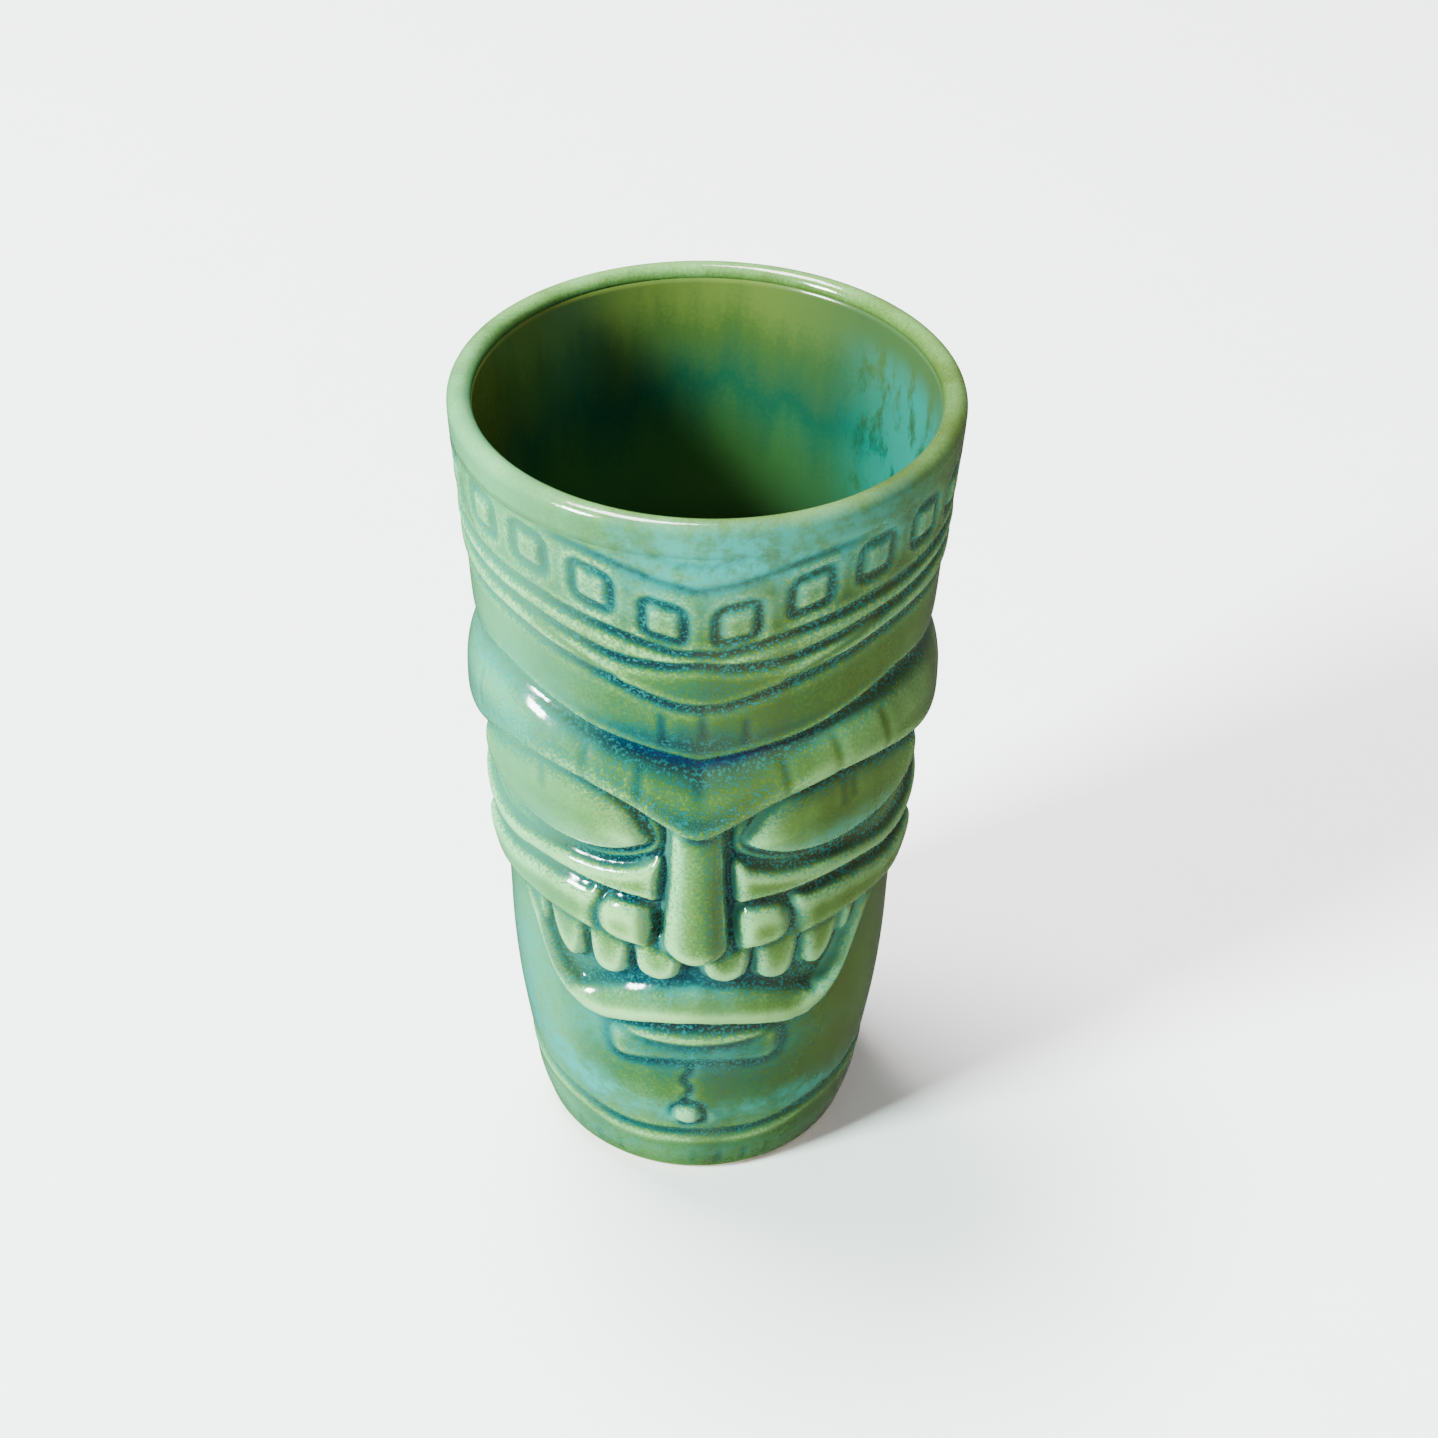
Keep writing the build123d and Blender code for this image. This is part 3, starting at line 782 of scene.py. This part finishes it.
def ring_strip(low_start, high_start):
    """Faces between two rings of columns, from the first ring to the second, seen from outside."""
    column = np.arange(COLUMNS)
    return np.stack(
        [low_start + column, low_start + COLUMN_NEXT, high_start + COLUMN_NEXT, high_start + column], axis=1
    )


def stack_rings(rings):
    """Faces of a tube made of these many rings of columns."""
    return np.concatenate([ring_strip(k * COLUMNS, (k + 1) * COLUMNS) for k in range(rings - 1)])


def body_wall():
    """The cup's wall, sunk a little under every piece that is laid on it."""
    body_faces = grid_faces(FACE_OWNER == 0)
    seen = np.zeros(ROWS * COLUMNS, bool)
    seen[np.unique(body_faces)] = True
    seen = seen.reshape(ROWS, COLUMNS)
    hidden_radius = np.minimum(RADIUS - 0.8, WALL_AT + 0.2)
    outer_radius = np.where(seen, RADIUS, hidden_radius)
    outer = cylinder_point(ANGLE, outer_radius, HEIGHT_AT).reshape(-1, 3)
    inner_angle = np.tile(columns, (len(INNER_ROWS), 1))
    inner_height = np.tile(INNER_ROWS[:, None], (1, COLUMNS))
    inner_radius = wall_radius(inner_height) - WALL + INNER_ECHO
    inner_grid = cylinder_point(inner_angle, inner_radius, inner_height)
    inner = inner_grid[::-1].reshape(-1, 3)
    faces = stack_rings(ROWS + len(INNER_ROWS))
    last = (ROWS + len(INNER_ROWS) - 1) * COLUMNS
    faces = np.concatenate([faces, ring_strip(last, 0)])
    normal = NORMAL.reshape(-1, 3)
    inner_normal = -grid_normals(inner_grid)[::-1].reshape(-1, 3)
    paint = {key: np.concatenate([v.reshape(-1), np.full(len(inner), 0.5)]) for key, v in PAINT.items()}
    points = np.concatenate([outer, inner])
    return new_object("body_wall_glazed", points, faces, np.concatenate([normal, inner_normal]), paint)


def revolved(name, sections, paint_values=None):
    """A closed ring of clay from its section, a list of (radius at every column or one number, height)."""
    every = np.ones(COLUMNS)
    points = [cylinder_point(columns, r * every, z * every) for r, z in sections]
    last = (len(sections) - 1) * COLUMNS
    faces = np.concatenate([stack_rings(len(sections)), ring_strip(last, 0)])
    count = len(sections) * COLUMNS
    paint = {key: np.full(count, 0.5 if key in ("cavity", "slope_light_shade") else 0.0) for key in PAINT}
    for key, values in (paint_values or {}).items():
        paint[key] = np.concatenate([np.broadcast_to(v, COLUMNS) for v in values])
    return new_object(name, np.concatenate(points), faces, None, paint)


LINING = 0.4  # thickness of the glass inside the cup
LIP_INNER = 38.9
LIP_UNDERSIDE = 39.3
LIP_RISE = 2.1
LIP_STEPS = 16
CORNER_RISE = 5.0  # the wall turns into the cup's floor over this height
CORNER_STEPS = 7
HUB = (0.06, 0.008, 0.004)  # shares of a disc's radius for the rings round its middle
SLAB_EDGE = 26.3  # radius of the floor's disc, inside the wall
TOP_OUTER = RADIUS[-1]
TOP_INNER = wall_radius(np.full(COLUMNS, LIP_BASE)) - WALL - LINING + INNER_ECHO[-1]


def rim_lip():
    """The lip rises flush from both faces of the wall and rolls over."""
    shoulder = HEIGHT - LIP_RISE
    crest_middle = (RIM_RADIUS + LIP_INNER) / 2
    half = (RIM_RADIUS - LIP_INNER) / 2
    run_out = PAINT["turquoise"][-1]
    section = [(TOP_OUTER, LIP_BASE), (TOP_OUTER * 0.5 + 0.5 * RIM_RADIUS, LIP_BASE + 1.4)]
    cavity = [0.46, 0.46]
    turquoise = [run_out, run_out]
    for step in range(LIP_STEPS + 1):
        turn = math.radians(180 * step / LIP_STEPS)
        rise = LIP_RISE * math.sin(turn) ** 0.9 if 0 < step < LIP_STEPS else 0.0
        section.append((crest_middle + half * math.cos(turn), shoulder + rise))
        cavity.append(0.46 - 0.12 * math.sin(turn))
        turquoise.append(run_out * max(0.0, 1 - step / 9))
    section += [(LIP_UNDERSIDE, HEIGHT - 2.3), (LIP_UNDERSIDE, LIP_BASE)]
    cavity += [0.5, 0.5]
    turquoise += [0.0, 0.0]
    return revolved("rim_lip_glazed", section, paint_values={"cavity": cavity, "turquoise": turquoise})


def glaze_lining():
    """The glass inside the cup, down the wall and across its floor."""
    wall = []
    for echo, z in zip(INNER_ECHO, INNER_ROWS):
        if z > FLOOR_TOP + CORNER_RISE:
            wall.append((wall_radius(z) - WALL - LINING + echo, z))
    for blend, z in ((0.35, LIP_BASE + 1.5), (0.75, LIP_BASE + 3.0), (1.0, HEIGHT - 2.05)):
        wall.append((TOP_INNER * (1 - blend) + LIP_INNER * blend, z))
    wall.reverse()
    low_radius, low_height = wall[-1]
    floor_height = FLOOR_TOP + LINING
    depth = low_height - floor_height
    corner = []
    for step in range(1, CORNER_STEPS + 1):
        turn = math.radians(90 * step / CORNER_STEPS)
        corner.append((low_radius - depth * (1 - math.cos(turn)), low_height - depth * math.sin(turn)))
    floor = [(corner[-1][0] * f, floor_height) for f in (0.75, 0.5, 0.25, *HUB)]
    under = [(r, z - LINING) for r, z in reversed(floor)] + [(corner[-1][0], floor_height - LINING)]
    outside = [(r + LINING, z) for r, z in reversed(wall + corner[:-1])]
    section = wall + corner + floor + under + outside
    heights = np.array([z for _, z in section])
    wet = [np.full(COLUMNS, v) for v in np.clip((HEIGHT - 6 - heights) / 60, 0, 1)]
    return revolved("glaze_lining_glazed", section, paint_values={"shade": wet})


def foot_ring():
    """The unglazed ring that the mug stands on, with a flat face and worn edges."""
    outer = [(1.35, FOOT_TOP), (0.9, 1.2), (0.35, 0.45), (-0.4, 0.08), (-1.2, 0.0)]
    inner = [(1.0, 0.0), (0.3, 0.25), (0.0, 0.9), (0.0, FOOT_TOP)]
    section = [(FOOT_OUTER + r, z) for r, z in outer] + [(FOOT_INNER + r, z) for r, z in inner]
    return revolved("foot_ring_bare", section[::-1])


def base_slab():
    """The floor of the cup, a disc whose underside is slightly domed."""
    top = FLOOR_TOP - 0.1
    section = [(SLAB_EDGE, FOOT_TOP + 0.05), (SLAB_EDGE, top)]
    section += [(SLAB_EDGE * f, top) for f in (0.7, 0.3, *HUB)]
    section += [(SLAB_EDGE * f, FOOT_TOP + 0.35 * (1 - f)) for f in (*reversed(HUB), 0.3, 0.6, 0.85)]
    return revolved("base_slab_glazed", section)


# ---------------------------------------------------------------- materials


def srgb(red, green, blue):
    """Linear colour from the usual 0 to 255 values."""
    out = []
    for value in (red, green, blue):
        v = value / 255
        out.append(v / 12.92 if v <= 0.04045 else ((v + 0.055) / 1.055) ** 2.4)
    return (*out, 1.0)


PALE = srgb(128, 178, 110)
LEAF = srgb(74, 112, 54)
GREEN = srgb(44, 80, 36)
OLIVE = srgb(62, 62, 10)
SHADOW_OLIVE = srgb(48, 58, 30)
SEA = srgb(10, 68, 52)
TEAL = srgb(2, 46, 50)
INK = srgb(0, 28, 40)
NAVY = srgb(0, 20, 58)
LIT_MINT = srgb(96, 190, 142)
TURQUOISE = srgb(20, 136, 130)
FLECK = srgb(14, 104, 100)


class Nodes:
    """Short names for building a material."""

    def __init__(self, name):
        self.material = bpy.data.materials.new(name)
        self.material.use_nodes = True
        self.tree = self.material.node_tree
        self.shader = self.tree.nodes["Principled BSDF"]
        self.place = self.tree.nodes.new("ShaderNodeTexCoord").outputs["Object"]

    def link(self, a, b):
        self.tree.links.new(a, b)

    def value(self, socket, given):
        if isinstance(given, (int, float, tuple)):
            socket.default_value = given
        else:
            self.link(given, socket)

    def attribute(self, name):
        node = self.tree.nodes.new("ShaderNodeAttribute")
        node.attribute_name = name
        return node.outputs["Fac"]

    def xyz(self):
        node = self.tree.nodes.new("ShaderNodeSeparateXYZ")
        self.link(self.place, node.inputs[0])
        return node.outputs

    def stretched(self, x, y, z):
        node = self.tree.nodes.new("ShaderNodeMapping")
        self.link(self.place, node.inputs["Vector"])
        node.inputs["Scale"].default_value = (x, y, z)
        return node.outputs["Vector"]

    def noise(self, scale, detail, rough, stretch=None):
        node = self.tree.nodes.new("ShaderNodeTexNoise")
        self.link(self.stretched(*stretch) if stretch else self.place, node.inputs["Vector"])
        node.inputs["Scale"].default_value = scale
        node.inputs["Detail"].default_value = detail
        node.inputs["Roughness"].default_value = rough
        return node.outputs["Fac"]

    def maths(self, kind, a, b=0.0, clamp=False):
        node = self.tree.nodes.new("ShaderNodeMath")
        node.operation = kind
        node.use_clamp = clamp
        self.value(node.inputs[0], a)
        self.value(node.inputs[1], b)
        return node.outputs[0]

    def spread(self, value, low, high, to_low=0.0, to_high=1.0):
        node = self.tree.nodes.new("ShaderNodeMapRange")
        node.interpolation_type = "SMOOTHSTEP"
        self.value(node.inputs["Value"], value)
        node.inputs["From Min"].default_value = low
        node.inputs["From Max"].default_value = high
        node.inputs["To Min"].default_value = to_low
        node.inputs["To Max"].default_value = to_high
        return node.outputs["Result"]

    def mix(self, factor, a, b):
        node = self.tree.nodes.new("ShaderNodeMix")
        node.data_type = "RGBA"
        self.value(node.inputs["Factor"], factor)
        self.value(node.inputs[6], a)
        self.value(node.inputs[7], b)
        return node.outputs[2]

    def ramp(self, value, stops):
        node = self.tree.nodes.new("ShaderNodeValToRGB")
        ramp = node.color_ramp
        while len(ramp.elements) < len(stops):
            ramp.elements.new(0.5)
        for element, (place, colour) in zip(ramp.elements, stops):
            element.position = place
            element.color = colour
        self.value(node.inputs["Fac"], value)
        return node.outputs["Color"]

    def bump(self, height, strength, distance):
        node = self.tree.nodes.new("ShaderNodeBump")
        node.inputs["Strength"].default_value = strength
        node.inputs["Distance"].default_value = distance
        self.link(height, node.inputs["Height"])
        self.link(node.outputs["Normal"], self.shader.inputs["Normal"])


def glaze(name, pale_shift=0.0):
    """Reactive celadon: it breaks pale over edges, pools teal in the cuts, and speckles turquoise between.

    On the front it also has painted light, mintier to the left, and painted shade, more olive to the right,
    by place on the mug and by slope.
    """
    n = Nodes(name)
    speckle = n.noise(1700, 2.0, 0.7)
    grain = n.maths("SUBTRACT", speckle, 0.5)
    cloud = n.noise(38, 3.0, 0.5)
    drips = n.noise(60, 3.0, 0.6, stretch=(1.0, 1.0, 0.12))
    cavity = n.attribute("cavity")
    shade = n.attribute("shade")
    turquoise = n.attribute("turquoise")
    deep = n.attribute("deep")
    slope_light_shade = n.attribute("slope_light_shade")
    near_cut = n.maths("MAXIMUM", n.attribute("near_cut"), shade)
    x, y, _ = n.xyz()
    # How thick the glaze lies, from 0 over edges to 1 in the cuts.
    grain_reach = n.maths("ADD", n.maths("MULTIPLY", near_cut, 0.75), 0.22)
    pooled = n.maths("ADD", cavity, n.maths("MULTIPLY", grain, grain_reach))
    pooled = n.maths("ADD", pooled, n.maths("MULTIPLY", n.maths("SUBTRACT", cloud, 0.5), 0.24))
    pooled = n.maths("ADD", pooled, n.maths("MULTIPLY", n.maths("SUBTRACT", drips, 0.5), 0.26))
    pooled = n.maths("ADD", pooled, n.maths("MULTIPLY", shade, 0.36))
    pooled = n.maths("ADD", pooled, n.maths("MULTIPLY", near_cut, 0.04))
    pooled = n.maths("ADD", pooled, -pale_shift, clamp=True)
    colour = n.ramp(
        pooled,
        [(0.12, PALE), (0.38, LEAF), (0.53, GREEN), (0.63, SEA), (0.75, TEAL), (0.92, INK)],
    )
    # Warmer where it dripped. Painted light and shade by place on the mug and by slope: olive towards the
    # right all round, mint on the front's left and on left-facing slopes, olive on the front's right and on
    # right-facing slopes.
    right_side_shade = n.spread(x, -0.016, 0.03, 0.05, 0.55)
    drip_warmth_and_right_shade = n.maths("ADD", n.spread(drips, 0.42, 0.7, 0.0, 0.5), right_side_shade, clamp=True)
    toned = n.mix(drip_warmth_and_right_shade, colour, n.mix(0.6, colour, OLIVE))
    # Painted light: mint on the front's left. Painted shade: olive on the front's right.
    front = n.spread(y, 0.026, -0.014)
    toned = n.mix(n.maths("MULTIPLY", front, n.spread(x, -0.012, -0.036, 0.0, 0.3)), toned, LIT_MINT)
    toned = n.mix(n.maths("MULTIPLY", front, n.spread(x, -0.002, 0.034, 0.0, 0.42)), toned, SHADOW_OLIVE)
    # Painted shade on right-facing slopes, painted light on left-facing ones.
    toned = n.mix(n.spread(slope_light_shade, 0.53, 0.8, 0.0, 0.62), toned, SHADOW_OLIVE)
    toned = n.mix(n.spread(slope_light_shade, 0.46, 0.15, 0.0, 0.2), toned, LIT_MINT)
    # Turquoise flecks beside the cuts, then turquoise washes, then navy in the deepest pools.
    fleck = n.spread(speckle, 0.5, 0.62)
    toned = n.mix(n.maths("MULTIPLY", fleck, n.maths("MULTIPLY", near_cut, 0.6)), toned, FLECK)
    broken = n.spread(n.noise(240, 4.0, 0.7), 0.38, 0.6, 0.32, 1.0)
    wash = n.maths("MULTIPLY", turquoise, broken, clamp=True)
    wash = n.maths("MULTIPLY", wash, n.spread(cavity, 0.5, 0.85, 0.85, 0.3))
    washed = n.mix(wash, toned, TURQUOISE)
    speckled_cavity = n.maths("ADD", cavity, n.maths("MULTIPLY", grain, 0.6))
    navy = n.maths("MULTIPLY", deep, n.spread(speckled_cavity, 0.6, 0.85))
    n.link(n.mix(n.maths("MULTIPLY", navy, 0.8), washed, NAVY), n.shader.inputs["Base Color"])
    n.link(n.spread(speckle, 0.3, 0.8, 0.09, 0.13), n.shader.inputs["Roughness"])
    n.shader.inputs["IOR"].default_value = 1.5
    n.bump(n.noise(420, 2.0, 0.5), 0.12, 0.0004)
    return n.material


def lining_glaze():
    """Inside the cup: olive near the lip, sea green under that, with a turquoise bloom on the right."""
    n = Nodes("lining_glaze")
    depth = n.attribute("shade")
    speckle = n.noise(1300, 3.0, 0.7)
    streak = n.noise(70, 4.0, 0.6, stretch=(1.0, 1.0, 0.16))
    cloud = n.noise(30, 2.0, 0.5)
    level = n.maths("ADD", depth, n.maths("MULTIPLY", n.maths("SUBTRACT", streak, 0.5), 0.5))
    level = n.maths("ADD", level, n.maths("MULTIPLY", n.maths("SUBTRACT", speckle, 0.5), 0.12), clamp=True)
    colour = n.ramp(
        level,
        [
            (0.0, srgb(86, 104, 44)), (0.12, srgb(60, 84, 38)), (0.3, srgb(22, 70, 50)),
            (0.5, srgb(52, 92, 46)), (0.9, srgb(54, 84, 42)),
        ],
    )
    x, _, z = n.xyz()
    # Painted shade: the inside darkens towards its right.
    colour = n.mix(n.spread(x, 0.002, 0.03, 0.0, 0.65), colour, srgb(8, 52, 42))
    right = n.maths("MULTIPLY", n.spread(x, 0.020, 0.038), n.spread(z, 0.085, 0.13))
    right = n.maths("MULTIPLY", right, n.spread(z, 0.149, 0.156, 1.0, 0.0))
    patches = n.noise(180, 5.0, 0.75, stretch=(1.0, 1.0, 0.5))
    bloom = n.maths("MULTIPLY", right, n.spread(patches, 0.36, 0.54))
    colour = n.mix(n.maths("MULTIPLY", bloom, 0.85), colour, srgb(0, 106, 96))
    left = n.maths("MULTIPLY", n.spread(x, -0.020, -0.036), n.spread(cloud, 0.3, 0.7))
    n.link(n.mix(n.maths("MULTIPLY", left, 0.5), colour, srgb(86, 96, 34)), n.shader.inputs["Base Color"])
    n.shader.inputs["Roughness"].default_value = 0.16
    n.shader.inputs["IOR"].default_value = 1.45
    n.bump(n.noise(350, 2.0, 0.5), 0.06, 0.0004)
    return n.material


def bare_clay():
    """The foot, wiped clean of glaze before firing."""
    n = Nodes("bare_clay")
    grain = n.noise(1800, 5.0, 0.75)
    wipe = n.noise(140, 3.0, 0.5)
    colour = n.mix(n.spread(grain, 0.35, 0.7), srgb(196, 182, 156), srgb(150, 134, 108))
    colour = n.mix(n.spread(wipe, 0.4, 0.7, 0.0, 0.5), colour, srgb(176, 150, 112))
    n.link(colour, n.shader.inputs["Base Color"])
    n.shader.inputs["Roughness"].default_value = 0.85
    n.bump(grain, 0.5, 0.0002)
    return n.material


MATERIALS = {
    "body_glaze": glaze("body_glaze"),
    "rim_glaze": glaze("rim_glaze", 0.02),
    "tile_glaze": glaze("tile_glaze"),
    "tooth_glaze": glaze("tooth_glaze", 0.08),
    "lining_glaze": lining_glaze(),
    "bare_foot": bare_clay(),
}

SLOTS = {entry["node"]: entry["material_slot"] for entry in frame["record"]["subparts"]}


def finish_piece(obj, *nodes):
    """The piece stands for these CAD nodes and takes the material of the first one's slot."""
    slot = SLOTS[nodes[0]]
    obj.data.materials.clear()
    obj.data.materials.append(MATERIALS[slot])
    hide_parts(*nodes)


for piece_index, piece_name in enumerate(relief.names[1:], start=1):
    finish_piece(relief_piece(piece_name + "_glazed", piece_index), piece_name)
finish_piece(body_wall(), "body_wall")
finish_piece(rim_lip(), "rim_lip")
finish_piece(glaze_lining(), "glaze_lining")
finish_piece(foot_ring(), "foot_ring")
finish_piece(base_slab(), "base_slab")

# ---------------------------------------------------------------- studio

LIGHT_TARGET = Vector((0.0, 0.0, 0.08))
# (name, place, width, height, power, colour)
LIGHTS = [
    ("window", (-2.05, -1.3, 1.6), 0.6, 0.8, 360.0, (0.8, 1.0, 0.92)),
    ("overhead", (-0.6, 0.5, 2.6), 1.1, 0.8, 210.0, (1.0, 0.97, 0.98)),
]
WORLD_STRENGTH = 0.5
WORLD_IN_MIRROR = 0.12
FLOOR_REACH = 6.0


def area_light(name, place, wide, tall, power, colour):
    data = bpy.data.lights.new(name, "AREA")
    data.shape = "RECTANGLE"
    data.size = wide
    data.size_y = tall
    data.energy = power
    data.color = colour
    obj = bpy.data.objects.new(name, data)
    bpy.context.scene.collection.objects.link(obj)
    obj.location = place
    obj.rotation_mode = "QUATERNION"
    obj.rotation_quaternion = (LIGHT_TARGET - Vector(place)).to_track_quat("-Z", "Y")


def make_world():
    """A soft pale world, dimmed in mirror reflections so that it doesn't veil the glaze."""
    world = bpy.data.worlds.new("studio")
    bpy.context.scene.world = world
    world.use_nodes = True
    nodes, links = world.node_tree.nodes, world.node_tree.links
    background = nodes["Background"]
    background.inputs["Color"].default_value = (1.0, 0.98, 0.95, 1.0)
    dimmed = nodes.new("ShaderNodeMath")
    dimmed.operation = "MULTIPLY_ADD"
    links.new(nodes.new("ShaderNodeLightPath").outputs["Is Glossy Ray"], dimmed.inputs[0])
    dimmed.inputs[1].default_value = WORLD_IN_MIRROR - WORLD_STRENGTH
    dimmed.inputs[2].default_value = WORLD_STRENGTH
    links.new(dimmed.outputs[0], background.inputs["Strength"])


def studio():
    for light in LIGHTS:
        area_light(*light)
    make_world()
    floor_mesh = bpy.data.meshes.new("floor")
    corners = [(x * FLOOR_REACH, y * FLOOR_REACH, 0) for x, y in ((-1, -1), (1, -1), (1, 1), (-1, 1))]
    floor_mesh.from_pydata(corners, [], [(0, 1, 2, 3)])
    floor = bpy.data.objects.new("floor", floor_mesh)
    bpy.context.scene.collection.objects.link(floor)
    n = Nodes("floor")
    paper = n.noise(40, 6.0, 0.6)
    n.link(n.mix(paper, (0.93, 0.93, 0.93, 1.0), (0.97, 0.97, 0.97, 1.0)), n.shader.inputs["Base Color"])
    n.shader.inputs["Roughness"].default_value = 0.9
    floor.data.materials.append(n.material)
    floor.visible_glossy = False  # a pale floor mirrored in the glaze would veil it too


studio()
